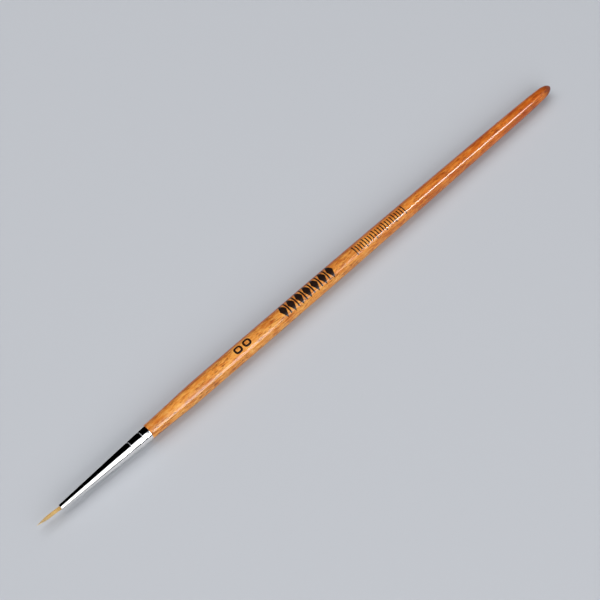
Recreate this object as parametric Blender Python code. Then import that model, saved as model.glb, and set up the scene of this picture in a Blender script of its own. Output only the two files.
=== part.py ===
"""Fine detail brush: a turned and lacquered wooden handle, a crimped tapered ferrule, and a pointed tuft of hair.

Everything is turned or set about one axis, which lies along X at the height of the belly's radius. The hair tip
is at -X and the handle's end at +X. The belly rests on one of its flats at Z = 0, and the origin is under the
middle of the brush. All outlines are measured along the axis from the ferrule's mouth, positive towards the tail.
"""

import math

import bmesh
import bpy
from mathutils import Vector
from mathutils.geometry import interpolate_bezier

MM = 0.001

# Hair: how far the tuft stands out of the ferrule, how much it swells in front of the mouth, and where it starts
# to narrow to its point.
HAIR_OUT = 7.0 * MM
TUFT_SWELL = 0.01 * MM
TUFT_BELLY_BEHIND_TIP = 3.6 * MM
TUFT_POINT_DIAMETER = 0.54 * MM
TUFT_POINT_BEHIND_TIP = 1.05 * MM
TIP_DIAMETER = 0.04 * MM
TIP_STAGGER = 0.7 * MM
STRAND_GAP = 0.008 * MM
STRAND_TAPER = 0.92
STRAND_SECTORS = 9
STRAND_ROWS = 6
ROOT_DEPTH = 10.5 * MM
ROOT_SLICE_DEPTH = 0.6 * MM
ROOT_FLARE = 0.03 * MM

# Ferrule: a seamless tapered tube with two rolled crimps near its back edge.
FERRULE_LENGTH = 28.0 * MM
FERRULE_MOUTH_DIAMETER = 1.44 * MM
FERRULE_BACK_DIAMETER = 3.76 * MM
FERRULE_WALL = 0.18 * MM
FERRULE_EDGE_ROUND = 0.05 * MM
CRIMPS_FROM_BACK = (5.8 * MM, 2.25 * MM)
CRIMP_WIDTH = 0.56 * MM
CRIMP_DEPTH = 0.10 * MM

# Handle: its visible length, from the shoulder that meets the ferrule's back edge to the bullet end.
HANDLE_LENGTH = 145.0 * MM
SHOULDER_STEP = 0.10 * MM
SHOULDER_ROUND = 0.06 * MM
SWELL_LENGTH = 17.0 * MM
BELLY_DIAMETER = 4.90 * MM
BELLY_LENGTH = 36.0 * MM
TAIL_DIAMETER = 3.0 * MM
TAIL_SLOPE = 0.033
TAIL_LEAD_IN = 4.0 * MM
TAIL_LEAD_OUT = 22.0 * MM
NOSE_LENGTH = 3.0 * MM
TENON_CHAMFER = 0.3 * MM

# What holds the hair: the thread round its root, and the cement that sets behind and around it.
THREAD_DIAMETER = 0.10 * MM
THREAD_TURNS = 5
THREAD_PITCH = 0.54 * MM
THREAD_FROM_ROOT_END = 0.5 * MM
CEMENT_OVER_THREAD = 0.4 * MM
CEMENT_BEHIND_ROOT = 3.0 * MM
CEMENT_DISH = 0.35 * MM

# Clearances between pieces. They are the films of glue and the play that the real pieces have.
GLUE_GAP = 0.03 * MM
HAIR_GAP = 0.04 * MM
THREAD_GAP = 0.02 * MM
TENON_END_GAP = 1.2 * MM

# Facets. Every turned piece has the same number of sides and lies with flats up, down and to both sides.
SIDES = 16
THREAD_POINTS_A_TURN = 24
CRIMP_STEPS = 6
SWELL_STEPS = 12
TAIL_STEPS = 16
NOSE_STEPS = 7
EDGE_STEPS = 2
HALF_FACET = math.pi / SIDES
SHARP_ANGLE = math.radians(40)
MERGE_DISTANCE = 1e-7

TOTAL_LENGTH = HAIR_OUT + FERRULE_LENGTH + HANDLE_LENGTH
AXIS_HEIGHT = BELLY_DIAMETER / 2
MOUTH_X = HAIR_OUT - TOTAL_LENGTH / 2
CEMENT_END = ROOT_DEPTH + CEMENT_BEHIND_ROOT
TENON_END = CEMENT_END + TENON_END_GAP


def clear_scene():
    for old in list(bpy.data.objects):
        bpy.data.objects.remove(old, do_unlink=True)


def material(name, color, roughness, metallic=0.0, coat=0.0):
    made = bpy.data.materials.new(name)
    made.use_nodes = True
    shader = made.node_tree.nodes["Principled BSDF"]
    shader.inputs["Base Color"].default_value = (*color, 1.0)
    shader.inputs["Roughness"].default_value = roughness
    shader.inputs["Metallic"].default_value = metallic
    shader.inputs["Coat Weight"].default_value = coat
    made.diffuse_color = (*color, 1.0)
    return made


def brush_axis():
    """The empty that carries every piece: it lies at the ferrule's mouth, on the axis."""
    axis = bpy.data.objects.new("brush_axis", None)
    axis.empty_display_size = FERRULE_LENGTH
    axis.location = (MOUTH_X, 0, AXIS_HEIGHT)
    bpy.context.scene.collection.objects.link(axis)
    return axis


def place(obj, axis, finish):
    obj.data.materials.append(finish)
    obj.parent = axis
    bpy.context.scene.collection.objects.link(obj)
    return obj


def mesh_object(name, bm, axis, finish):
    bmesh.ops.recalc_face_normals(bm, faces=bm.faces)
    mesh = bpy.data.meshes.new(name)
    bm.to_mesh(mesh)
    bm.free()
    mesh.shade_smooth()
    mesh.set_sharp_from_angle(angle=SHARP_ANGLE)
    return place(bpy.data.objects.new(name, mesh), axis, finish)


def turned(name, outline, axis, finish, tube=False):
    """Turns an outline of (x, radius) points about the axis. A tube's outline is a closed loop, and a solid
    piece's outline starts and ends on the axis. Radii are measured to the flats."""
    bm = bmesh.new()
    corner = 1 / math.cos(HALF_FACET)
    side, up = math.sin(HALF_FACET) * corner, math.cos(HALF_FACET) * corner
    verts = [bm.verts.new((x, radius * side, radius * up)) for x, radius in outline]
    edges = [bm.edges.new(pair) for pair in zip(verts, verts[1:])]
    if tube:
        edges.append(bm.edges.new((verts[-1], verts[0])))
    bmesh.ops.spin(
        bm,
        geom=verts + edges,
        cent=(0, 0, 0),
        axis=(1, 0, 0),
        angle=math.tau,
        steps=SIDES,
        use_merge=True,
    )
    bmesh.ops.remove_doubles(bm, verts=bm.verts, dist=MERGE_DISTANCE)
    return mesh_object(name, bm, axis, finish)


def curve(start, lead_in, lead_out, end, steps):
    """Points of one Bezier stretch of an outline, without its first point."""
    points = interpolate_bezier(Vector(start), Vector(lead_in), Vector(lead_out), Vector(end), steps + 1)
    return [(point.x, point.y) for point in points[1:]]


def rounded_corner(x, radius, towards_x, towards_radius, size):
    """A quarter round between a face square to the axis and a side along it. It runs from the face to the side,
    and the two signs say which way each of them lies from the corner."""
    turn = [math.pi / 2 * step / EDGE_STEPS for step in range(EDGE_STEPS + 1)]
    return [
        (
            x + towards_x * size * (1 - math.cos(angle)),
            radius + towards_radius * size * (1 - math.sin(angle)),
        )
        for angle in turn
    ]


def crimp_centres():
    return [FERRULE_LENGTH - from_back for from_back in CRIMPS_FROM_BACK]


def crimp_dip(x):
    """How deep the rolled crimps press the wall in at x."""
    for centre in crimp_centres():
        away = abs(x - centre) / CRIMP_WIDTH
        if away < 0.5:
            return CRIMP_DEPTH * (1 + math.cos(math.tau * away)) / 2
    return 0.0


def crimp_stations():
    return [
        centre + CRIMP_WIDTH * (step / CRIMP_STEPS - 0.5)
        for centre in crimp_centres()
        for step in range(CRIMP_STEPS + 1)
    ]


def ferrule_radius(x):
    along = x / FERRULE_LENGTH
    cone = FERRULE_MOUTH_DIAMETER + (FERRULE_BACK_DIAMETER - FERRULE_MOUTH_DIAMETER) * along
    return cone / 2 - crimp_dip(x)


def bore_radius(x):
    return ferrule_radius(x) - FERRULE_WALL


def root_radius(x):
    """The glued root bundle fills the mouth and flares a little towards its end."""
    return bore_radius(0) - HAIR_GAP + ROOT_FLARE * x / ROOT_DEPTH


def make_ferrule(axis, finish):
    back = FERRULE_LENGTH
    outer_mouth = rounded_corner(0, ferrule_radius(0), 1, -1, FERRULE_EDGE_ROUND)
    outer_back = rounded_corner(back, ferrule_radius(back), -1, -1, FERRULE_EDGE_ROUND)
    inner_mouth = rounded_corner(0, bore_radius(0), 1, 1, FERRULE_EDGE_ROUND)
    outside = [(x, ferrule_radius(x)) for x in crimp_stations()]
    inside = [(x, bore_radius(x)) for x in reversed(crimp_stations())]
    outline = outer_mouth + outside + outer_back[::-1]
    outline += [(back, bore_radius(back))] + inside + inner_mouth[::-1]
    return turned("ferrule", outline, axis, finish, tube=True)


def make_handle(axis, finish):
    shoulder = FERRULE_LENGTH
    neck = ferrule_radius(shoulder) + SHOULDER_STEP
    belly, tail = BELLY_DIAMETER / 2, TAIL_DIAMETER / 2
    belly_start = shoulder + SWELL_LENGTH
    belly_end = belly_start + BELLY_LENGTH
    end = shoulder + HANDLE_LENGTH
    nose = end - NOSE_LENGTH

    tenon_front = bore_radius(TENON_END) - GLUE_GAP
    outline = [(TENON_END, 0), (TENON_END, tenon_front - TENON_CHAMFER)]
    outline += [(TENON_END + TENON_CHAMFER, bore_radius(TENON_END + TENON_CHAMFER) - GLUE_GAP)]
    outline += [(x, bore_radius(x) - GLUE_GAP) for x in crimp_stations()]
    face = shoulder + GLUE_GAP
    outline += [(face, bore_radius(shoulder) - GLUE_GAP)]
    outline += rounded_corner(face, neck, 1, -1, SHOULDER_ROUND)
    outline += curve(
        (face + SHOULDER_ROUND, neck),
        (face + SHOULDER_ROUND + SWELL_LENGTH / 3, neck),
        (belly_start - SWELL_LENGTH / 3, belly),
        (belly_start, belly),
        SWELL_STEPS,
    )
    outline += [(belly_end, belly)]
    outline += curve(
        (belly_end, belly),
        (belly_end + TAIL_LEAD_IN, belly),
        (nose - TAIL_LEAD_OUT, tail + TAIL_SLOPE * TAIL_LEAD_OUT),
        (nose, tail),
        TAIL_STEPS,
    )
    for step in range(1, NOSE_STEPS + 1):
        angle = math.pi / 2 * step / NOSE_STEPS
        outline.append((nose + NOSE_LENGTH * math.sin(angle), tail * math.cos(angle)))
    outline[-1] = (end, 0)
    return turned("handle", outline, axis, finish)


def strand_ends(count):
    """How far each strand stops short of the tip: spread evenly by the golden ratio, so that no two neighbours
    are alike, and the first one reaches the tip."""
    golden = (math.sqrt(5) - 1) / 2
    return [TIP_STAGGER * (index * golden % 1) for index in range(count)]


def root_face():
    """A disc of small triangles, one for each strand, in the plane of the slice that the strands leave."""
    bm = bmesh.new()
    bmesh.ops.create_circle(bm, cap_ends=True, cap_tris=True, segments=STRAND_SECTORS, radius=1)
    bmesh.ops.subdivide_edges(bm, edges=bm.edges, cuts=STRAND_ROWS - 1, use_grid_fill=True)
    sector = math.tau / STRAND_SECTORS
    for vert in bm.verts:
        angle = math.atan2(vert.co.y, vert.co.x)
        off_middle = (angle - math.pi / 2) % sector - sector / 2
        reach = math.cos(off_middle) / math.cos(sector / 2)
        vert.co = (ROOT_SLICE_DEPTH, *(vert.co.xy * reach * root_radius(ROOT_SLICE_DEPTH)))
    return bm


def grow(bm, face, x, scale):
    """Extrudes one strand to x: its place follows the tuft's outline by scale, and it thins about its middle."""
    face = bmesh.ops.extrude_discrete_faces(bm, faces=[face])["faces"][0]
    middle = face.calc_center_median()
    for vert in face.verts:
        across = middle.lerp(vert.co, STRAND_TAPER) * scale
        vert.co = (x, across.y, across.z)
    return face


def make_hair_tuft(axis, finish):
    bm = root_face()
    strands = list(bm.faces)
    rim = [edge for edge in bm.edges if edge.is_boundary]

    sleeve = bmesh.ops.extrude_edge_only(bm, edges=rim)["geom"]
    back_rim = [vert for vert in sleeve if isinstance(vert, bmesh.types.BMVert)]
    flare = root_radius(ROOT_DEPTH) / root_radius(ROOT_SLICE_DEPTH)
    for vert in back_rim:
        vert.co = (ROOT_DEPTH, vert.co.y * flare, vert.co.z * flare)
    back_edges = [edge for edge in sleeve if isinstance(edge, bmesh.types.BMEdge) and edge.is_boundary]
    bmesh.ops.contextual_create(bm, geom=back_edges)

    bmesh.ops.inset_individual(bm, faces=strands, thickness=STRAND_GAP / 2, use_even_offset=True)
    slice_radius = root_radius(ROOT_SLICE_DEPTH)
    belly, point, tip = slice_radius + TUFT_SWELL, TUFT_POINT_DIAMETER / 2, TIP_DIAMETER / 2
    strands.sort(key=lambda face: face.calc_center_median().yz.length)
    for face, short_by in zip(strands, strand_ends(len(strands))):
        face = grow(bm, face, TUFT_BELLY_BEHIND_TIP - HAIR_OUT, belly / slice_radius)
        face = grow(bm, face, TUFT_POINT_BEHIND_TIP - HAIR_OUT, point / belly)
        end_radius = tip + (point - tip) * short_by / TUFT_POINT_BEHIND_TIP
        face = grow(bm, face, short_by - HAIR_OUT, end_radius / point)
        bmesh.ops.pointmerge(bm, verts=face.verts, merge_co=face.calc_center_median())
    return mesh_object("hair_tuft", bm, axis, finish)


def thread_centre_line():
    """The thread's turns, from the root's end forwards, each lying clear of the bundle."""
    start = ROOT_DEPTH - THREAD_FROM_ROOT_END
    points = []
    for index in range(THREAD_TURNS * THREAD_POINTS_A_TURN + 1):
        turns = index / THREAD_POINTS_A_TURN
        x = start - THREAD_PITCH * turns
        radius = root_radius(x) + THREAD_GAP + THREAD_DIAMETER / 2
        points.append(Vector((x, radius * math.cos(math.tau * turns), radius * math.sin(math.tau * turns))))
    return points


def least_gap(points, diameter):
    """The thread's least gap to itself, between points at least half a turn apart."""
    half_turn = THREAD_POINTS_A_TURN // 2
    return min(
        (points[first] - points[second]).length - diameter
        for first in range(len(points))
        for second in range(first + half_turn, len(points))
    )


def make_binding_thread(axis, finish):
    points = thread_centre_line()
    print(f"binding_thread: least gap to itself {least_gap(points, THREAD_DIAMETER) / MM:.3f} mm")
    data = bpy.data.curves.new("binding_thread", "CURVE")
    data.dimensions = "3D"
    data.bevel_depth = THREAD_DIAMETER / 2
    data.bevel_resolution = 1
    data.use_fill_caps = True
    spline = data.splines.new("POLY")
    spline.points.add(len(points) - 1)
    for knot, point in zip(spline.points, points):
        knot.co = (*point, 1)
    spline.use_smooth = True
    return place(bpy.data.objects.new("binding_thread", data), axis, finish)


def make_root_cement(axis, finish):
    """A cup of set cement: its recess holds the thread and the root's end, and its back is dished."""
    thread_front = ROOT_DEPTH - THREAD_FROM_ROOT_END - THREAD_TURNS * THREAD_PITCH
    front = thread_front - CEMENT_OVER_THREAD
    floor = ROOT_DEPTH + GLUE_GAP
    recess = root_radius(ROOT_DEPTH) + THREAD_GAP + THREAD_DIAMETER + GLUE_GAP
    outline = [
        (floor, 0),
        (floor, recess),
        (front, recess),
        (front, bore_radius(front) - GLUE_GAP),
        (CEMENT_END, bore_radius(CEMENT_END) - GLUE_GAP),
        (CEMENT_END - CEMENT_DISH / 2, bore_radius(CEMENT_END) / 2),
        (CEMENT_END - CEMENT_DISH, 0),
    ]
    return turned("root_cement", outline, axis, finish)


def main():
    clear_scene()
    axis = brush_axis()
    lacquered_wood = material("lacquered_wood", (0.52, 0.17, 0.035), 0.22, coat=0.6)
    plated_metal = material("plated_metal", (0.80, 0.80, 0.82), 0.12, metallic=1.0)
    tan_hair = material("tan_hair", (0.55, 0.36, 0.13), 0.5)
    cotton_thread = material("cotton_thread", (0.72, 0.66, 0.54), 0.85)
    amber_cement = material("amber_cement", (0.55, 0.33, 0.10), 0.3)
    make_handle(axis, lacquered_wood)
    make_ferrule(axis, plated_metal)
    make_hair_tuft(axis, tan_hair)
    make_binding_thread(axis, cotton_thread)
    make_root_cement(axis, amber_cement)


main()
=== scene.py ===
"""Finishes the detail brush and sets it on its stage.

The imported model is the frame. The lacquered wooden handle follows the outline of its node, and carries the
ink marks. The bright crimped ferrule and the pointed tuft of single hairs have their own sizes between the
ends of their nodes. The thread and the cement that hold the roots of the hair follow theirs. The brush lies
along X with its hair at -X, and Z is up from the surface it lies on. Lengths are in metres where nothing else
is said.
"""

import math
import random

import bmesh
import bpy
from bpy.props import FloatProperty, FloatVectorProperty, IntProperty, PointerProperty
from bpy.types import Operator, Panel, PropertyGroup
from mathutils import Matrix, Vector, noise
from mathutils.geometry import interpolate_bezier


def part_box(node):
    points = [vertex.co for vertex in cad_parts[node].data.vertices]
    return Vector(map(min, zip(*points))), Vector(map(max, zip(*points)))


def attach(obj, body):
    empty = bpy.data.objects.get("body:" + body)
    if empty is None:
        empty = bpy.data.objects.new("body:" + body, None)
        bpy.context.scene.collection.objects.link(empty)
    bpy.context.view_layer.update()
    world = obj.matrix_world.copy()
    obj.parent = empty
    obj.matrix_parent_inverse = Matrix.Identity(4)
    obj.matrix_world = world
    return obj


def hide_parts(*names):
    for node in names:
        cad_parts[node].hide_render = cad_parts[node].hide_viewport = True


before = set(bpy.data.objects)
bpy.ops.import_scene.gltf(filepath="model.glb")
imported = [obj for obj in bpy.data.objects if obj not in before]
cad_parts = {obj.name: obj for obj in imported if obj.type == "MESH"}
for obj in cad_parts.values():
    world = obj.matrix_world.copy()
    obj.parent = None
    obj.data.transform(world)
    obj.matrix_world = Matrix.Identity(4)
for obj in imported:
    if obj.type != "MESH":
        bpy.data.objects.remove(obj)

bl_info = {
    "name": "Detail Brush Finish",
    "version": (1, 0, 0),
    "blender": (4, 5, 0),
    "location": "3D View > Sidebar > Detail Brush",
    "description": "Builds the finished detail brush on its packed frame, with stage, lights and camera",
    "category": "Object",
}

MM = 0.001
NEAR = 0.002 * MM
ROUND_SIDES = 128
SHARP_ANGLE = math.radians(35)

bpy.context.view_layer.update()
HANDLE_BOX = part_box("handle")
FERRULE_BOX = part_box("ferrule")
HAIR_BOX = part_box("hair_tuft")
THREAD_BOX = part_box("binding_thread")
AXIS_HEIGHT = (HANDLE_BOX[0].z + HANDLE_BOX[1].z) / 2
TIP_X = HAIR_BOX[0].x
ROOT_X = HAIR_BOX[1].x
MOUTH_X = FERRULE_BOX[0].x
SHOULDER_X = FERRULE_BOX[1].x
TAIL_X = HANDLE_BOX[1].x


# ------------------------------------------------------------------------------------------------------------
# Sizes and colours


class HandleSettings(PropertyGroup):
    """The turned wooden handle and its lacquer."""

    honey: FloatVectorProperty(
        name="Honey", description="Lightest colour of the wood", subtype="COLOR", default=(0.93, 0.45, 0.10)
    )
    straw: FloatVectorProperty(
        name="Straw", description="Colour of the palest cells", subtype="COLOR", default=(0.92, 0.56, 0.20)
    )
    amber: FloatVectorProperty(
        name="Amber", description="Middle colour of the wood", subtype="COLOR", default=(0.72, 0.235, 0.034)
    )
    # Russet is also the colour of the painted shade on the handle's +Y side.
    russet: FloatVectorProperty(
        name="Russet", description="Colour of the dark figure", subtype="COLOR", default=(0.36, 0.065, 0.010)
    )
    pore: FloatVectorProperty(
        name="Pore",
        description="Colour of the pores and flecks",
        subtype="COLOR",
        default=(0.16, 0.026, 0.007),
    )
    # The nose colour is painted shade laid over the last few millimetres of the nose.
    nose: FloatVectorProperty(
        name="Nose",
        description="Colour of the end grain at the nose",
        subtype="COLOR",
        default=(0.20, 0.036, 0.008),
    )
    lacquer_roughness: FloatProperty(
        name="Lacquer roughness", description="Roughness of the clear lacquer", default=0.045, min=0, max=1
    )
    lacquer_waves: FloatProperty(
        name="Lacquer waves",
        description="Height of the slow waves left in the brushed lacquer",
        default=0.0006 * MM,
        unit="LENGTH",
        precision=6,
    )
    shoulder_shift: FloatProperty(
        name="Shoulder shift",
        description="How far the turned shoulder stands in front of the frame's",
        default=0.55 * MM,
        unit="LENGTH",
        precision=5,
    )
    tail_fullness: FloatProperty(
        name="Tail fullness",
        description="How much fuller in radius the tail's end is than the frame's",
        default=0.09 * MM,
        unit="LENGTH",
        precision=5,
    )
    nose_point: FloatProperty(
        name="Nose point", description="How much the nose is drawn to a point", default=0.2, min=0, max=1
    )
    ring_spacing: FloatProperty(
        name="Ring spacing", description="Distance between rings of faces", default=1.0 * MM, unit="LENGTH"
    )


class FerruleSettings(PropertyGroup):
    """The plated ferrule."""

    plating: FloatVectorProperty(
        name="Plating", description="Colour of the plating", subtype="COLOR", default=(0.88, 0.87, 0.85)
    )
    tarnish: FloatVectorProperty(
        name="Tarnish",
        description="Colour of the duller patches",
        subtype="COLOR",
        default=(0.74, 0.72, 0.68),
    )
    roughness: FloatProperty(
        name="Roughness", description="Roughness of the polished plating", default=0.06, min=0, max=1
    )
    mouth: FloatProperty(
        name="Mouth", description="Diameter of the ferrule at its mouth", default=1.78 * MM, unit="LENGTH"
    )
    back: FloatProperty(
        name="Back", description="Diameter of the ferrule at its back edge", default=4.20 * MM, unit="LENGTH"
    )
    wall: FloatProperty(
        name="Wall", description="Thickness of the tube", default=0.33 * MM, unit="LENGTH", precision=5
    )
    crimps: FloatVectorProperty(
        name="Crimps",
        description="How far the crimps lie from the back edge",
        size=2,
        default=(5.7 * MM, 2.2 * MM),
        unit="LENGTH",
        precision=5,
    )
    crimp_width: FloatProperty(
        name="Crimp width",
        description="Width of a rolled crimp",
        default=0.44 * MM,
        unit="LENGTH",
        precision=5,
    )
    crimp_depth: FloatProperty(
        name="Crimp depth",
        description="Depth of a rolled crimp",
        default=0.07 * MM,
        unit="LENGTH",
        precision=5,
    )
    edge_round: FloatProperty(
        name="Edge round",
        description="Rounding of the cut edges",
        default=0.05 * MM,
        unit="LENGTH",
        precision=6,
    )


class HairSettings(PropertyGroup):
    """The hairs of the point."""

    count: IntProperty(name="Hairs", description="Number of hairs", default=400, min=1)
    thickness: FloatProperty(
        name="Thickness", description="Thickness of a hair", default=0.043 * MM, unit="LENGTH", precision=6
    )
    bundle: FloatProperty(
        name="Bundle", description="Diameter of the bundle in the mouth", default=0.92 * MM, unit="LENGTH"
    )
    stagger: FloatProperty(
        name="Stagger", description="How far the outer hairs stop short", default=2.3 * MM, unit="LENGTH"
    )
    sway: FloatProperty(
        name="Sway", description="How far the point leans to +Y", default=0.42 * MM, unit="LENGTH"
    )
    stray: FloatProperty(
        name="Stray",
        description="How far single hairs stray from the bundle",
        default=0.045 * MM,
        unit="LENGTH",
        precision=6,
    )
    root: FloatVectorProperty(
        name="Root", description="Hair colour at the ferrule", subtype="COLOR", default=(0.66, 0.40, 0.085)
    )
    golden: FloatVectorProperty(
        name="Golden", description="Hair colour along the belly", subtype="COLOR", default=(0.86, 0.58, 0.19)
    )
    tip: FloatVectorProperty(
        name="Tip", description="Hair colour at the point", subtype="COLOR", default=(0.92, 0.78, 0.48)
    )


class BindingSettings(PropertyGroup):
    """The thread round the hair's roots and the cement behind them."""

    turns: IntProperty(name="Turns", description="Turns of the thread round the root", default=5, min=1)
    thickness: FloatProperty(
        name="Thickness",
        description="Thickness of the twisted thread",
        default=0.10 * MM,
        unit="LENGTH",
        precision=6,
    )
    lay: FloatProperty(
        name="Lay",
        description="Length of one twist of the two plies",
        default=0.34 * MM,
        unit="LENGTH",
        precision=6,
    )
    cotton: FloatVectorProperty(
        name="Cotton", description="Colour of the thread", subtype="COLOR", default=(0.70, 0.63, 0.50)
    )
    cement: FloatVectorProperty(
        name="Cement", description="Colour of the set cement", subtype="COLOR", default=(0.50, 0.28, 0.08)
    )


class InkSettings(PropertyGroup):
    """The marks printed on the handle."""

    ink: FloatVectorProperty(
        name="Ink", description="Colour of the ink", subtype="COLOR", default=(0.016, 0.008, 0.006)
    )
    film: FloatProperty(
        name="Film", description="Thickness of the ink film", default=0.008 * MM, unit="LENGTH", precision=6
    )
    thinned: FloatVectorProperty(
        name="Thinned",
        description="Colour of the ink where it is thin",
        subtype="COLOR",
        default=(0.10, 0.035, 0.012),
    )
    numeral: FloatVectorProperty(
        name="Numeral",
        description="Width and height of a size numeral",
        size=2,
        default=(2.35 * MM, 2.05 * MM),
        unit="LENGTH",
        precision=5,
    )
    numeral_gap: FloatProperty(
        name="Numeral gap",
        description="Gap between the numerals",
        default=0.55 * MM,
        unit="LENGTH",
        precision=5,
    )
    stroke: FloatProperty(
        name="Stroke",
        description="Stroke of the size numerals",
        default=0.56 * MM,
        unit="LENGTH",
        precision=5,
    )
    lozenges: IntProperty(name="Lozenges", description="Number of lozenges in their border", default=7, min=1)
    lozenge: FloatVectorProperty(
        name="Lozenge",
        description="Width and height of a lozenge",
        size=2,
        default=(2.0 * MM, 4.7 * MM),
        unit="LENGTH",
        precision=5,
    )
    bar: FloatVectorProperty(
        name="Bar",
        description="Width and height of a bar between lozenges",
        size=2,
        default=(0.46 * MM, 3.8 * MM),
        unit="LENGTH",
        precision=5,
    )
    lozenge_border: FloatProperty(
        name="Lozenge border", description="Length of the lozenge border", default=18.9 * MM, unit="LENGTH"
    )
    ticks: IntProperty(name="Ticks", description="Number of ticks in their border", default=21, min=1)
    tick_width: FloatProperty(
        name="Tick width", description="Width of a tick", default=0.34 * MM, unit="LENGTH", precision=5
    )
    tick_heights: FloatVectorProperty(
        name="Tick heights",
        description="Heights of a tall tick and of the short ticks after it",
        size=2,
        default=(3.0 * MM, 2.0 * MM),
        unit="LENGTH",
        precision=5,
    )
    tick_border: FloatProperty(
        name="Tick border", description="Length of the tick border", default=18.6 * MM, unit="LENGTH"
    )


class StageSettings(PropertyGroup):
    """The floor, the lights and the camera."""

    floor: FloatVectorProperty(
        name="Floor", description="Colour of the floor", subtype="COLOR", default=(0.521, 0.540, 0.577)
    )
    ferrule: FloatProperty(
        name="Ferrule", description="Radiance of the softbox that the ferrule shows", default=1.2
    )
    swell: FloatProperty(
        name="Swell", description="Radiance of the softbox that the swell shows", default=8.5
    )
    belly: FloatProperty(name="Belly", description="Radiance of the strip that the belly shows", default=7.0)
    tail: FloatProperty(name="Tail", description="Radiance of the strip that the tail shows", default=32.0)
    overhead: FloatProperty(name="Overhead", description="Radiance of the wide panel above", default=1.95)
    side: FloatProperty(name="Side", description="Radiance of the panel at the side", default=1.2)
    ambient: FloatProperty(name="Ambient", description="Strength of the room's own light", default=0.08)
    elevation: FloatProperty(
        name="Elevation",
        description="Camera's height over the horizon",
        default=math.radians(60),
        subtype="ANGLE",
    )
    turn: FloatProperty(
        name="Turn", description="Camera's turn about Z", default=math.radians(-44.812), subtype="ANGLE"
    )
    distance: FloatProperty(
        name="Distance", description="Camera's distance", default=414.78 * MM, unit="LENGTH"
    )
    aim: FloatVectorProperty(
        name="Aim",
        description="Point the camera looks at",
        subtype="XYZ",
        default=(-4.249 * MM, 0.311 * MM, 2.497 * MM),
    )


# ------------------------------------------------------------------------------------------------------------
# Finishes

# Where the wood changes, as (from, to) in millimetres from the middle of the brush: it reddens along X,
# painted shade darkens its +Y side along Y, and painted shade darkens its nose along X
REDDENING = (-10.0, 75.0)
SHADED_SIDE_SPAN = (0.3, 2.4)
NOSE_SHADE_SPAN = (TAIL_X / MM - 4.5, TAIL_X / MM - 0.9)


class Value:
    """A shader value that can be used in an expression: each operator adds its Math node."""

    def __init__(self, finish, socket):
        self.finish = finish
        self.socket = socket

    def maths(self, operation, first, second):
        return self.finish.node("ShaderNodeMath", {"operation": operation}, {0: first, 1: second})

    def __add__(self, other):
        return self.maths("ADD", self, other)

    __radd__ = __add__

    def __mul__(self, other):
        return self.maths("MULTIPLY", self, other)

    __rmul__ = __mul__


class Finish:
    """A material in the making, round one Principled shader."""

    def __init__(self, name, **fixed):
        self.material = bpy.data.materials.new(name)
        self.material.use_nodes = True
        self.tree = self.material.node_tree
        self.shader = self.tree.nodes["Principled BSDF"]
        for socket, value in fixed.items():
            self.shader.inputs[socket.replace("_", " ")].default_value = value

    def node(self, kind, settings, inputs, output=0):
        """Adds one node: its settings first, then the values or links of its sockets."""
        made = self.tree.nodes.new(kind)
        for setting, value in settings.items():
            setattr(made, setting, value)
        for socket, value in inputs.items():
            self.feed(made.inputs[socket], value)
        return Value(self, made.outputs[output])

    def feed(self, socket, value):
        if isinstance(value, Value):
            self.tree.links.new(value.socket, socket)
        elif socket.type == "RGBA" and len(value) == 3:
            socket.default_value = (*value, 1.0)
        else:
            socket.default_value = value

    def paint(self, socket, value):
        self.feed(self.shader.inputs[socket], value)

    def position(self):
        """Where a point lies, in millimetres from the middle of the brush, with its axis along X."""
        place = self.node("ShaderNodeTexCoord", {}, {}, "Object")
        scale = (1 / MM, 1 / MM, 1 / MM)
        sockets = {"Vector": place, "Location": (0, 0, -AXIS_HEIGHT / MM), "Scale": scale}
        return self.node("ShaderNodeMapping", {}, sockets)

    def along(self):
        return self.node("ShaderNodeSeparateXYZ", {}, {0: self.position()}, "X")

    def across(self):
        return self.node("ShaderNodeSeparateXYZ", {}, {0: self.position()}, "Y")

    def attribute(self, name):
        return self.node("ShaderNodeAttribute", {"attribute_name": name}, {}, "Fac")

    def noise(self, stretch, detail=2.0, roughness=0.5, distortion=0.0, offset=(0, 0, 0)):
        """Noise whose cells are as long and wide as stretch says, in millimetres."""
        scale = [1 / length for length in stretch]
        sockets = {"Vector": self.position(), "Location": offset, "Scale": scale}
        place = self.node("ShaderNodeMapping", {}, sockets)
        sockets = {"Vector": place, "Scale": 1.0}
        sockets.update({"Detail": detail, "Roughness": roughness, "Distortion": distortion})
        return self.node("ShaderNodeTexNoise", {}, sockets, "Fac")

    def between(self, value, low, high):
        """0 under low, 1 over high, and a smooth step between them."""
        sockets = {"Value": value, "From Min": low, "From Max": high}
        return self.node("ShaderNodeMapRange", {"interpolation_type": "SMOOTHSTEP"}, sockets)

    def mix(self, factor, first, second, blend="MIX"):
        settings = {"data_type": "RGBA", "blend_type": blend}
        return self.node("ShaderNodeMix", settings, {0: factor, 6: first, 7: second}, 2)

    def bump(self, height, distance, strength):
        sockets = {"Height": height, "Distance": distance, "Strength": strength}
        self.paint("Normal", self.node("ShaderNodeBump", {}, sockets))


def lacquered(name, lacquer_roughness, **fixed):
    """A finish that lies under the handle's clear lacquer, which gives it nearly all its gloss."""
    coat = {"Coat_Weight": 0.55, "Coat_Roughness": lacquer_roughness, "Coat_IOR": 1.55}
    return Finish(name, Specular_IOR_Level=0.05, **coat, **fixed)


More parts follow.
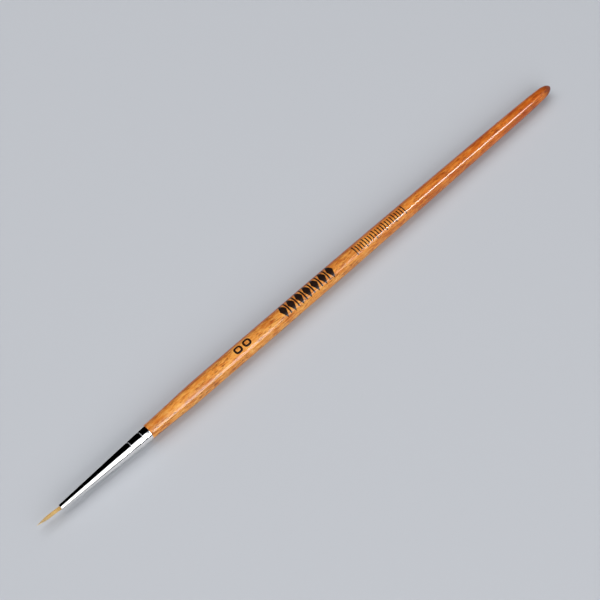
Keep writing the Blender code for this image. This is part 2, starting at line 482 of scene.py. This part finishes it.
def lacquered_wood(settings):
    """Amber-stained hardwood: long soft grain, short dark pores and russet figure. It is redder towards the
    tail. Painted shade darkens its +Y side to russet, and painted shade darkens the end of its nose."""
    finish = lacquered("lacquered_wood", settings.lacquer_roughness)
    along = finish.along()
    to_tail = finish.between(along, *REDDENING)
    grain = finish.noise((7.0, 0.5, 0.5), detail=4.0, roughness=0.6, distortion=0.1)
    mottle = finish.noise((1.7, 0.62, 0.62), detail=4.0, roughness=0.68, offset=(4.4, 1.9, 0))
    cloud = finish.noise((8.0, 2.4, 2.4), detail=3.0, distortion=0.3, offset=(3.1, 0, 1.7))
    patches = finish.noise((3.4, 1.0, 1.0), detail=5.0, roughness=0.68, offset=(7.7, 2.3, 0))
    pores = finish.noise((1.5, 0.22, 0.22), roughness=0.6, offset=(1.3, 5.1, 0))
    pore_beds = finish.noise((5.0, 1.2, 1.2), offset=(0, 9.2, 4.0))

    cells = finish.between(grain * 0.45 + mottle * 0.55, 0.36, 0.62)
    wood = finish.mix(cells, settings.honey, settings.amber)
    wood = finish.mix(finish.between(mottle, 0.42, 0.30) * 0.6, wood, settings.straw)
    wood = finish.mix(finish.between(cloud + to_tail * 0.10, 0.46, 0.74) * 0.42, wood, settings.russet)
    wood = finish.mix(finish.between(patches, 0.52, 0.64) * 0.6, wood, settings.russet)
    # Painted shade: the handle's +Y side is darkened towards russet, standing in for the shading of that
    # side.
    shaded_side = finish.between(finish.across(), *SHADED_SIDE_SPAN)
    wood = finish.mix(shaded_side, wood, settings.russet)
    redder = finish.mix(1.0, wood, (0.80, 0.45, 0.22), "MULTIPLY")
    wood = finish.mix(to_tail * 0.85, wood, redder)
    marked = finish.between(pores, 0.54, 0.64) * finish.between(pore_beds, 0.42, 0.58)
    wood = finish.mix(marked * 0.7, wood, settings.pore)
    # Painted shade: the end of the nose is darkened to the nose colour.
    nose_shade = finish.between(along, *NOSE_SHADE_SPAN)
    wood = finish.mix(nose_shade * 0.9, wood, settings.nose)
    finish.paint("Base Color", wood)
    finish.paint("Roughness", 0.42 + mottle * 0.2)
    finish.bump(grain * 0.5 + pores * 0.5, 0.01 * MM, 0.4)
    return finish.material


def plated_metal(settings):
    """Bright nickel plating, polished along the tube, with a faint haze."""
    finish = Finish("plated_metal", Metallic=1.0, IOR=1.5)
    drawn = finish.noise((6.0, 0.05, 0.05))
    haze = finish.noise((2.5, 1.1, 1.1), detail=4.0, roughness=0.6)
    tarnish = finish.between(haze, 0.55, 0.80) * 0.5
    finish.paint("Base Color", finish.mix(tarnish, settings.plating, settings.tarnish))
    finish.paint("Roughness", settings.roughness + finish.between(haze, 0.45, 0.75) * 0.05 + drawn * 0.02)
    finish.bump(drawn, 0.002 * MM, 0.15)
    return finish.material


def tan_hair(settings):
    """Fine golden hair: each hair has its own tint, darker at the root and paler to the tip."""
    sheen = {"Sheen_Weight": 0.15, "Sheen_Roughness": 0.4}
    finish = Finish("tan_hair", Roughness=0.42, Specular_IOR_Level=0.45, **sheen)
    reach = finish.attribute("reach")
    tint = finish.attribute("tint")
    colour = finish.mix(finish.between(reach, 0.0, 0.35), settings.root, settings.golden)
    colour = finish.mix(finish.between(reach, 0.45, 1.0), colour, settings.tip)
    darker = finish.mix(1.0, colour, (0.52, 0.42, 0.32), "MULTIPLY")
    colour = finish.mix(finish.between(tint, 0.45, 1.0) * 0.6, colour, darker)
    finish.paint("Base Color", colour)
    return finish.material


def cotton_thread(settings):
    """Natural twisted cotton, matt, with short fibres lying along the plies."""
    finish = Finish("cotton_thread", Roughness=0.9, Sheen_Weight=0.3)
    fibres = finish.noise((0.08, 0.02, 0.02), detail=3.0)
    darker = finish.mix(1.0, settings.cotton, (0.72, 0.66, 0.58), "MULTIPLY")
    finish.paint("Base Color", finish.mix(finish.between(fibres, 0.35, 0.65), settings.cotton, darker))
    finish.bump(fibres, 0.01 * MM, 0.6)
    return finish.material


def amber_cement(settings):
    """Set amber cement with small bubbles and cloudy stretches."""
    finish = Finish("amber_cement", Coat_Weight=0.4, Coat_Roughness=0.2)
    cloud = finish.noise((0.9, 0.9, 0.9), detail=3.0)
    grit = finish.noise((0.08, 0.08, 0.08), detail=1.0)
    darker = finish.mix(1.0, settings.cement, (0.6, 0.5, 0.4), "MULTIPLY")
    finish.paint("Base Color", finish.mix(finish.between(cloud, 0.35, 0.65), settings.cement, darker))
    finish.paint("Roughness", 0.28 + grit * 0.2)
    finish.bump(grit, 0.02 * MM, 0.5)
    return finish.material


def black_ink(settings, lacquer_roughness):
    """Black ink, a little thinner in streaks along the wood."""
    finish = lacquered("black_ink", lacquer_roughness, Roughness=0.5)
    streaks = finish.noise((1.4, 0.12, 0.12), detail=3.0)
    thin = finish.between(streaks, 0.58, 0.75) * 0.45
    finish.paint("Base Color", finish.mix(thin, settings.ink, settings.thinned))
    return finish.material


# ------------------------------------------------------------------------------------------------------------
# Making and placing pieces


def clear_piece(name):
    """Takes an object of that name away, so that an operator can be run again."""
    old = bpy.data.objects.get(name)
    if old:
        bpy.data.objects.remove(old, do_unlink=True)


def shown(name, mesh, material):
    """Puts a mesh into the scene with its material."""
    clear_piece(name)
    made = bpy.data.objects.new(name, mesh)
    made.data.materials.append(material)
    bpy.context.scene.collection.objects.link(made)
    return made


def piece(name, bm, material, node=None):
    """Makes a mesh the finished piece of that name, riding on the brush."""
    mesh = bpy.data.meshes.new(name)
    bm.to_mesh(mesh)
    bm.free()
    mesh.shade_smooth()
    mesh.set_sharp_from_angle(angle=SHARP_ANGLE)
    made = shown(name, mesh, material)
    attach(made, "root")
    if node:
        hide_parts(node)


def rings_of(node):
    """The (x, radius) rings of a turned node from the hair's end to the tail, with radii to its flats."""
    spots = []
    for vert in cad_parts[node].data.vertices:
        radius = math.hypot(vert.co.y, vert.co.z - AXIS_HEIGHT)
        if not any(abs(vert.co.x - x) < NEAR and abs(radius - r) < NEAR for x, r in spots):
            spots.append((vert.co.x, radius))
    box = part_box(node)
    to_flats = (box[1].z - box[0].z) / 2 / max(radius for x, radius in spots)
    rings = [Vector((x, radius * to_flats)) for x, radius in spots]
    return sorted(rings, key=lambda ring: (round(ring.x / NEAR), ring.y))


def flowing(points, spacing):
    """A smooth outline through all the points, which meets the axis squarely at its end. At each point it
    heads from the one before towards the one after."""
    across_the_axis = Vector((points[-2].x, -points[-2].y))
    line = [points[0], *points, across_the_axis]
    outline = [points[0]]
    for before, start, end, after in zip(line, line[1:], line[2:], line[3:]):
        reach = (end - start).length / 3
        leave = start + (end - before).normalized() * reach
        arrive = end - (after - start).normalized() * reach
        steps = max(2, round(3 * reach / spacing))
        outline += interpolate_bezier(start, leave, arrive, end, steps + 1)[1:]
    return outline


def turned(outline):
    """Spins an outline of (x, radius) points into a round solid or shell."""
    bm = bmesh.new()
    verts = [bm.verts.new((point.x, 0, max(point.y, 0))) for point in outline]
    edges = [bm.edges.new(pair) for pair in zip(verts, verts[1:])]
    bmesh.ops.spin(
        bm,
        geom=verts + edges,
        cent=(0, 0, 0),
        axis=(1, 0, 0),
        angle=math.tau,
        steps=ROUND_SIDES,
        use_merge=True,
    )
    bmesh.ops.remove_doubles(bm, verts=bm.verts, dist=NEAR / 10)
    bmesh.ops.recalc_face_normals(bm, faces=bm.faces)
    return bm


def lift_to_axis(bm):
    bmesh.ops.translate(bm, verts=bm.verts, vec=(0, 0, AXIS_HEIGHT))


def radius_at(outline, x):
    """The radius of an outline at x."""
    for start, end in zip(outline, outline[1:]):
        if start.x <= x <= end.x and end.x > start.x:
            return start.lerp(end, (x - start.x) / (end.x - start.x)).y
    raise ValueError(f"the outline doesn't reach x = {x}")


# ------------------------------------------------------------------------------------------------------------
# Handle and its ink marks

# Stretches along the handle: the shoulder's small round, the swell behind it, the end of the tail that is
# fuller than the frame's, the nose, and the end that is drawn to a point
SHOULDER_ROUND = 0.12 * MM
SWELL = 17 * MM
FULL_TAIL = 40 * MM
NOSE = 3 * MM
NOSE_POINT = 4 * MM

# Radius under which the tail's fullness dies out
SLIM = 1.4 * MM

# Size in millimetres of the slow waves in the lacquer, and how far behind the shoulder they start
WAVE_CELLS = (7.0, 1.2, 1.2)
WAVES_START = 1 * MM

# Where each mark starts behind the tip of the hair, and how far it is turned from straight up towards -Y
NUMERALS_START, NUMERALS_TURN = 63.1 * MM, math.radians(-1)
LOZENGES_START, LOZENGES_TURN = 78.4 * MM, math.radians(-4)
TICKS_START, TICKS_TURN = 104.3 * MM, math.radians(4)
TALL_TICK_EVERY = 4

# Longest straight edges of a printed film, along the brush and round it
FILM_STEPS = (0.8 * MM, 0.12 * MM)


def handle_outline(settings):
    """The turned handle: tenon, shoulder and small round as the frame has them, then one flowing line. The
    shoulder stands a little further forward, which dies out over the swell. The tail's end is a little
    fuller, and its nose is drawn to a point."""
    rings = rings_of("handle")
    shoulder_round = [ring for ring in rings if SHOULDER_X < ring.x < SHOULDER_X + SHOULDER_ROUND]
    stick = [ring for ring in rings if ring.x > shoulder_round[-1].x]
    tenon = [ring for ring in rings if ring.x < SHOULDER_X - settings.shoulder_shift]
    for ring in shoulder_round + stick:
        if ring.x < SHOULDER_X + SWELL:
            ring.x -= settings.shoulder_shift * (1 - (ring.x - SHOULDER_X) / SWELL)
        fullness = min(1, max(0, (ring.x - (TAIL_X - NOSE)) / FULL_TAIL + 1))
        ring.y += settings.tail_fullness * fullness * min(1, ring.y / SLIM)
        ring.y *= 1 - settings.nose_point * max(0, 1 - (TAIL_X - ring.x) / NOSE_POINT)
    line = flowing([shoulder_round[-1], *stick], settings.ring_spacing)
    for point in line:
        point.y = min(point.y, AXIS_HEIGHT)
    return tenon + shoulder_round[:-1] + line


class DETAIL_BRUSH_OT_handle(Operator):
    """Turn the lacquered wooden handle"""

    bl_idname = "detail_brush.handle"
    bl_label = "Handle"

    def execute(self, context):
        settings = context.scene.brush_handle
        bm = turned(handle_outline(settings))
        for vert in bm.verts:
            if vert.co.x > SHOULDER_X + WAVES_START:
                place = Vector([along / cell for along, cell in zip(vert.co, WAVE_CELLS)])
                depth = 0.5 + 0.5 * noise.noise(place / MM)
                vert.co.yz -= vert.co.yz.normalized() * depth * settings.lacquer_waves
        lift_to_axis(bm)
        piece("turned_handle", bm, lacquered_wood(settings), "handle")
        return {"FINISHED"}


def nought(bm, x, width, height, stroke):
    """A numeral nought, a little squarer than an ellipse, with its middle at x."""
    verts = bmesh.ops.create_circle(bm, cap_ends=True, segments=40, radius=1)["verts"]
    for vert in verts:
        squarer = 1 + 0.10 * math.sin(2 * math.atan2(vert.co.y, vert.co.x)) ** 2
        vert.co = (x + vert.co.x * squarer * width / 2, vert.co.y * squarer * height / 2, 0)
    faces = list({face for vert in verts for face in vert.link_faces})
    bmesh.ops.inset_region(bm, faces=faces, thickness=stroke, use_boundary=True, use_even_offset=True)
    bmesh.ops.delete(bm, geom=faces, context="FACES")


def lozenge(bm, x, width, height):
    """A solid lozenge with its middle at x."""
    for vert in bmesh.ops.create_circle(bm, cap_ends=True, segments=4, radius=1)["verts"]:
        vert.co = (x + vert.co.x * width / 2, vert.co.y * height / 2, 0)


def bar(bm, x, width, height):
    """An upright bar with its middle at x."""
    for vert in bmesh.ops.create_grid(bm, x_segments=1, y_segments=1, size=0.5)["verts"]:
        vert.co = (x + vert.co.x * width, vert.co.y * height, 0)


def printed(bm, start_x, angle, outline, film):
    """Lays a flat design on the handle as a thin film. The design's X runs along the brush from start_x, and
    its Y runs round it from the given angle, which is measured from straight up towards -Y."""
    for axis, step in enumerate(FILM_STEPS):
        reach = [vert.co[axis] for vert in bm.verts]
        for index in range(math.ceil(min(reach) / step), math.ceil(max(reach) / step)):
            at, normal = Vector((0, 0, 0)), Vector((0, 0, 0))
            at[axis], normal[axis] = index * step, 1
            geom = list(bm.verts) + list(bm.edges) + list(bm.faces)
            bmesh.ops.bisect_plane(bm, geom=geom, dist=NEAR / 20, plane_co=at, plane_no=normal)
    bmesh.ops.triangulate(bm, faces=bm.faces)
    raised = bmesh.ops.extrude_face_region(bm, geom=list(bm.faces))["geom"]
    top = [vert for vert in raised if isinstance(vert, bmesh.types.BMVert)]
    bmesh.ops.translate(bm, verts=top, vec=(0, 0, film))
    for vert in bm.verts:
        x = start_x + vert.co.x
        radius = radius_at(outline, x) + vert.co.z - film / 3
        turn = angle - vert.co.y / radius
        vert.co = (x, -radius * math.sin(turn), radius * math.cos(turn))
    bmesh.ops.recalc_face_normals(bm, faces=bm.faces)
    lift_to_axis(bm)


class DETAIL_BRUSH_OT_marks(Operator):
    """Print the size numerals, the lozenge border and the tick border on the handle"""

    bl_idname = "detail_brush.marks"
    bl_label = "Ink marks"

    def execute(self, context):
        settings = context.scene.brush_ink
        ink = black_ink(settings, context.scene.brush_handle.lacquer_roughness)
        outline = handle_outline(context.scene.brush_handle)

        bm = bmesh.new()
        width, height = settings.numeral
        for index in range(2):
            nought(bm, width / 2 + index * (width + settings.numeral_gap), width, height, settings.stroke)
        printed(bm, TIP_X + NUMERALS_START, NUMERALS_TURN, outline, settings.film)
        piece("size_numerals", bm, ink)

        bm = bmesh.new()
        pitch = settings.lozenge_border / settings.lozenges
        for index in range(settings.lozenges):
            lozenge(bm, (index + 0.5) * pitch, *settings.lozenge)
            if index:
                bar(bm, index * pitch, *settings.bar)
        printed(bm, TIP_X + LOZENGES_START, LOZENGES_TURN, outline, settings.film)
        piece("lozenge_border", bm, ink)

        bm = bmesh.new()
        pitch = settings.tick_border / settings.ticks
        tall, short = settings.tick_heights
        for index in range(settings.ticks):
            bar(bm, (index + 0.5) * pitch, settings.tick_width, short if index % TALL_TICK_EVERY else tall)
        printed(bm, TIP_X + TICKS_START, TICKS_TURN, outline, settings.film)
        piece("tick_border", bm, ink)
        return {"FINISHED"}


# ------------------------------------------------------------------------------------------------------------
# Ferrule

CRIMP_STEPS = 12
RIM_ANGLE = math.radians(60)


class DETAIL_BRUSH_OT_ferrule(Operator):
    """Draw the tapered ferrule, with its two rolled crimps and rounded edges"""

    bl_idname = "detail_brush.ferrule"
    bl_label = "Ferrule"

    def execute(self, context):
        settings = context.scene.brush_ferrule
        back_x = SHOULDER_X - context.scene.brush_handle.shoulder_shift
        mouth, back = Vector((MOUTH_X, settings.mouth / 2)), Vector((back_x, settings.back / 2))
        outline = [mouth]
        for from_back in settings.crimps:
            for step in range(CRIMP_STEPS + 1):
                share = step / CRIMP_STEPS
                x = back_x - from_back + settings.crimp_width * (share - 0.5)
                dip = settings.crimp_depth * (1 - math.cos(math.tau * share)) / 2
                cone = mouth.lerp(back, (x - MOUTH_X) / (back_x - MOUTH_X)).y
                outline.append(Vector((x, cone - dip)))
        bm = turned(outline + [back])
        bmesh.ops.solidify(bm, geom=bm.faces, thickness=settings.wall)
        bmesh.ops.bevel(
            bm,
            geom=[edge for edge in bm.edges if edge.calc_face_angle(0) > RIM_ANGLE],
            offset=settings.edge_round,
            offset_type="OFFSET",
            affect="EDGES",
            segments=3,
            profile=0.5,
            material=-1,
        )
        bmesh.ops.recalc_face_normals(bm, faces=bm.faces)
        lift_to_axis(bm)
        piece("crimped_ferrule", bm, plated_metal(settings), "ferrule")
        return {"FINISHED"}


# ------------------------------------------------------------------------------------------------------------
# Hair, its binding and its cement

# Shares: how much of the tuft's length narrows to its point, where along a hair it starts to thin, and how
# much of its thickness is left at its tip
TUFT_POINT = 0.6
THINNING_START = 0.55
BLUNT_END = 0.06

HAIR_SIDES = 5
HAIR_CUTS = 11
STEPS_PER_TURN = 72


def tuft_width(out):
    """How wide the tuft is, as a share of its bundle, at a distance out of the mouth."""
    left = 1 - max(out, 0) / (MOUTH_X - TIP_X)
    return math.sin(math.pi / 2 * min(1, left / TUFT_POINT)) ** 0.8


def hair_width(share):
    """How wide a hair is, as a share of its thickness, at a share of its length."""
    thinned = max(0, (share - THINNING_START) / (1 - THINNING_START))
    return max(BLUNT_END, 1 - thinned**1.6)


def single_hair():
    """A straight hair of unit length and radius, in rings from its root at 0 to its tip at Z = 1."""
    bm = bmesh.new()
    verts = bmesh.ops.create_cone(
        bm, cap_ends=True, cap_tris=False, segments=HAIR_SIDES, radius1=1, radius2=1, depth=1
    )["verts"]
    bmesh.ops.translate(bm, verts=verts, vec=(0, 0, 0.5))
    long_edges = [edge for edge in bm.edges if abs(edge.verts[0].co.z - edge.verts[1].co.z) > 0.5]
    bmesh.ops.subdivide_edges(bm, edges=long_edges, cuts=HAIR_CUTS)
    mesh = bpy.data.meshes.new("single_hair")
    bm.to_mesh(mesh)
    bm.free()
    return mesh


class DETAIL_BRUSH_OT_hair(Operator):
    """Set the hairs of the pointed tuft"""

    bl_idname = "detail_brush.hair"
    bl_label = "Hair"

    def execute(self, context):
        settings = context.scene.brush_hair
        draw = random.Random(4)
        pattern = single_hair()
        bm = bmesh.new()
        reach_layer = bm.verts.layers.float.new("reach")
        tint_layer = bm.verts.layers.float.new("tint")
        golden_angle = math.pi * (3 - math.sqrt(5))
        out_length = MOUTH_X - TIP_X
        for index in range(settings.count):
            share = math.sqrt((index + 0.5) / settings.count)
            angle = index * golden_angle
            spread = share * (settings.bundle - settings.thickness) / 2
            base = Vector((math.cos(angle), math.sin(angle))) * spread
            short = settings.stagger * (0.75 * share**2 + 0.25 * draw.random() ** 2)
            stray = Vector((draw.gauss(0, settings.stray), draw.gauss(0, settings.stray)))
            tint = draw.random()
            length = TIP_X + short - ROOT_X
            bm.from_mesh(pattern)
            bm.verts.ensure_lookup_table()
            for vert in bm.verts[-len(pattern.vertices):]:
                x = ROOT_X + length * (1 - (1 - vert.co.z) ** 1.3)
                out = max(0, MOUTH_X - x) / out_length
                radius = settings.thickness / 2 * hair_width(vert.co.z)
                across = base * tuft_width(MOUTH_X - x) + stray * out**1.5 * (1 - 0.5 * out)
                sway = settings.sway * out**0.75
                y = across.x + sway + vert.co.x * radius
                z = across.y + 0.25 * sway + vert.co.y * radius
                vert[reach_layer] = out
                vert[tint_layer] = tint
                vert.co = (x, y, z)
        bpy.data.meshes.remove(pattern)
        bmesh.ops.recalc_face_normals(bm, faces=bm.faces)
        lift_to_axis(bm)
        piece("hair_point", bm, tan_hair(settings), "hair_tuft")
        return {"FINISHED"}


class DETAIL_BRUSH_OT_binding(Operator):
    """Wind the two-ply thread round the root, and finish the cement behind it"""

    bl_idname = "detail_brush.binding"
    bl_label = "Binding and cement"

    def execute(self, context):
        settings = context.scene.brush_binding
        low, high = THREAD_BOX
        wound = (high.z - low.z) / 2 - settings.thickness / 2
        start, end = high.x - settings.thickness / 2, low.x + settings.thickness / 2
        ply = settings.thickness / 4
        steps = settings.turns * STEPS_PER_TURN
        turn_length = math.tau * wound
        data = bpy.data.curves.new("thread_plies", "CURVE")
        data.dimensions = "3D"
        data.bevel_depth = ply
        data.bevel_resolution = 1
        data.use_fill_caps = True
        for side in (0, math.pi):
            spline = data.splines.new("POLY")
            spline.points.add(steps)
            for index, point in enumerate(spline.points):
                turns = settings.turns * index / steps
                around = Vector((0, math.cos(math.tau * turns), math.sin(math.tau * turns)))
                twist = math.tau * turns * turn_length / settings.lay + side
                x = start + (end - start) * index / steps
                centre = Vector((x, 0, 0)) + around * (wound + ply * math.cos(twist))
                centre.x += ply * math.sin(twist)
                point.co = (*centre, 1)
        plies = bpy.data.objects.new("thread_plies", data)
        bpy.context.scene.collection.objects.link(plies)
        context.view_layer.update()
        mesh = bpy.data.meshes.new_from_object(plies.evaluated_get(context.evaluated_depsgraph_get()))
        bm = bmesh.new()
        bm.from_mesh(mesh)
        bpy.data.objects.remove(plies, do_unlink=True)
        bpy.data.meshes.remove(mesh)
        bmesh.ops.remove_doubles(bm, verts=bm.verts, dist=NEAR / 20)
        bmesh.ops.recalc_face_normals(bm, faces=bm.faces)
        lift_to_axis(bm)
        piece("binding_plies", bm, cotton_thread(settings), "binding_thread")

        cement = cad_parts["root_cement"]
        cement.data.materials.clear()
        cement.data.materials.append(amber_cement(settings))
        return {"FINISHED"}


# ------------------------------------------------------------------------------------------------------------
# Stage

FLOOR_REACH = 4
CURTAIN_REACH = 0.70
CURTAIN_ENDS = (-0.35, 1.3)
CURTAIN_STRIPS = 32


def round_the_brush(x, reach, angle):
    """The point at x that lies at a reach from the X axis, turned by degrees from straight up towards -Y."""
    lean = math.radians(angle)
    return Vector((x, -reach * math.sin(lean), reach * math.cos(lean)))


def softbox(name, radiance, x, reach, angle, width, length, slant=0):
    """An area light of the given radiance that faces the middle of the brush. Its length runs along the brush
    but for its slant. Both angles are in degrees."""
    clear_piece(name)
    data = bpy.data.lights.new(name, "AREA")
    data.shape = "RECTANGLE"
    data.size, data.size_y = width, length
    data.energy = radiance * math.pi * width * length
    centre = round_the_brush(x, reach, angle)
    back = centre.normalized()
    lengthwise = (Vector((1, 0, 0)) - back * back.x).normalized()
    around = back.cross(lengthwise)
    up = lengthwise * math.cos(math.radians(slant)) + around * math.sin(math.radians(slant))
    made = bpy.data.objects.new(name, data)
    turn = Matrix((up.cross(back), up, back)).transposed()
    made.matrix_world = Matrix.Translation(centre) @ turn.to_4x4()
    bpy.context.scene.collection.objects.link(made)
    return made


def dark_curtain(name, start, hem):
    """A black curved curtain which only reflections see: it keeps bright plating dark there. It reaches round
    the brush from its start to its hem, a list of (X, angle) points. All angles are in degrees."""
    bm = bmesh.new()
    bmesh.ops.create_grid(bm, x_segments=CURTAIN_STRIPS, y_segments=len(hem) - 1, size=0.5)
    for vert in bm.verts:
        x, end = hem[round((vert.co.y + 0.5) * (len(hem) - 1))]
        vert.co = round_the_brush(x, CURTAIN_REACH, start + (vert.co.x + 0.5) * (end - start))
    mesh = bpy.data.meshes.new(name)
    bm.to_mesh(mesh)
    bm.free()
    finish = Finish("black_velvet", Roughness=1.0, Specular_IOR_Level=0.0)
    finish.paint("Base Color", (0.0, 0.0, 0.0))
    curtain = shown(name, mesh, finish.material)
    curtain.visible_camera = False
    curtain.visible_diffuse = False
    curtain.visible_transmission = False
    curtain.visible_shadow = False


def room(settings):
    """The pale room: as bright as the floor where it is seen or mirrored, and dimmer as a light."""
    world = bpy.data.worlds.new("pale_room")
    world.use_nodes = True
    nodes, links = world.node_tree.nodes, world.node_tree.links
    paths = nodes.new("ShaderNodeLightPath")
    seen = paths.outputs["Is Camera Ray"]
    for ray in ("Is Glossy Ray", "Is Transmission Ray"):
        either = nodes.new("ShaderNodeMath")
        either.operation = "MAXIMUM"
        links.new(seen, either.inputs[0])
        links.new(paths.outputs[ray], either.inputs[1])
        seen = either.outputs[0]
    strength = nodes.new("ShaderNodeMapRange")
    strength.inputs["To Min"].default_value = settings.ambient
    strength.inputs["To Max"].default_value = 1.0
    links.new(seen, strength.inputs["Value"])
    background = nodes["Background"]
    background.inputs["Color"].default_value = (*settings.floor, 1.0)
    links.new(strength.outputs[0], background.inputs["Strength"])
    bpy.context.scene.world = world


class DETAIL_BRUSH_OT_stage(Operator):
    """Lay the floor, hang the lights and set the camera"""

    bl_idname = "detail_brush.stage"
    bl_label = "Stage"

    def execute(self, context):
        settings = context.scene.brush_stage
        bm = bmesh.new()
        bmesh.ops.create_grid(bm, x_segments=1, y_segments=1, size=FLOOR_REACH)
        mesh = bpy.data.meshes.new("floor")
        bm.to_mesh(mesh)
        bm.free()
        finish = Finish("pale_floor", Roughness=0.5, Specular_IOR_Level=0.05)
        finish.paint("Base Color", settings.floor[:])
        shown("floor", mesh, finish.material)
        room(settings)
        near, far = CURTAIN_ENDS
        dark_curtain("overhead_curtain", -89.5, [(near, 4), (0.04, 7), (0.115, 12), (far, 14)])
        dark_curtain("low_curtain", 90, [(near, 76), (far, 76)])

        softbox("ferrule_panel", settings.ferrule, x=-0.25, reach=0.80, angle=42.5, width=1.15, length=1.02)
        highlights = [
            softbox("swell_window", settings.swell, x=0.175, reach=0.78, angle=57, width=0.42, length=0.16),
            softbox(
                "belly_strip",
                settings.belly,
                x=0.32,
                reach=0.78,
                angle=47,
                width=0.11,
                length=0.18,
                slant=-35,
            ),
            softbox(
                "tail_strip",
                settings.tail,
                x=0.48,
                reach=0.78,
                angle=36,
                width=0.12,
                length=0.24,
                slant=-35,
            ),
        ]
        for highlight in highlights:
            highlight.visible_diffuse = False
        fills = [
            softbox("overhead_panel", settings.overhead, x=0, reach=0.85, angle=-26, width=0.75, length=1.6),
            softbox("side_panel", settings.side, x=0, reach=0.80, angle=58, width=0.5, length=1.2),
        ]
        for fill in fills:
            fill.visible_glossy = False

        data = bpy.data.cameras.new("camera")
        data.lens = 100
        data.sensor_width = 36
        data.clip_start = 0.01
        camera = bpy.data.objects.new("camera", data)
        tilt = Matrix.Rotation(math.pi / 2 - settings.elevation, 4, "X")
        turn = Matrix.Rotation(settings.turn, 4, "Z") @ tilt
        away = Matrix.Translation((0, 0, settings.distance))
        camera.matrix_world = Matrix.Translation(settings.aim) @ turn @ away
        context.scene.collection.objects.link(camera)
        context.scene.camera = camera
        context.scene.view_settings.view_transform = "Standard"
        return {"FINISHED"}


class DETAIL_BRUSH_PT_panel(Panel):
    """Lists the brush's pieces and its stage"""

    bl_idname = "DETAIL_BRUSH_PT_panel"
    bl_label = "Detail Brush"
    bl_space_type = "VIEW_3D"
    bl_region_type = "UI"
    bl_category = "Detail Brush"

    def draw(self, context):
        for group, (_, operator) in GROUPS.items():
            box = self.layout.box()
            box.operator(operator.bl_idname)
            settings = getattr(context.scene, group)
            for name in settings.__annotations__:
                box.prop(settings, name)


GROUPS = {
    "brush_handle": (HandleSettings, DETAIL_BRUSH_OT_handle),
    "brush_ink": (InkSettings, DETAIL_BRUSH_OT_marks),
    "brush_ferrule": (FerruleSettings, DETAIL_BRUSH_OT_ferrule),
    "brush_hair": (HairSettings, DETAIL_BRUSH_OT_hair),
    "brush_binding": (BindingSettings, DETAIL_BRUSH_OT_binding),
    "brush_stage": (StageSettings, DETAIL_BRUSH_OT_stage),
}
CLASSES = (*(cls for pair in GROUPS.values() for cls in pair), DETAIL_BRUSH_PT_panel)


def register():
    for cls in CLASSES:
        bpy.utils.register_class(cls)
    for group, (cls, _) in GROUPS.items():
        setattr(bpy.types.Scene, group, PointerProperty(type=cls))


def unregister():
    for group in GROUPS:
        delattr(bpy.types.Scene, group)
    for cls in reversed(CLASSES):
        bpy.utils.unregister_class(cls)


def main():
    register()
    bpy.ops.detail_brush.handle()
    bpy.ops.detail_brush.marks()
    bpy.ops.detail_brush.ferrule()
    bpy.ops.detail_brush.hair()
    bpy.ops.detail_brush.binding()
    bpy.ops.detail_brush.stage()


if __name__ == "__main__":
    main()
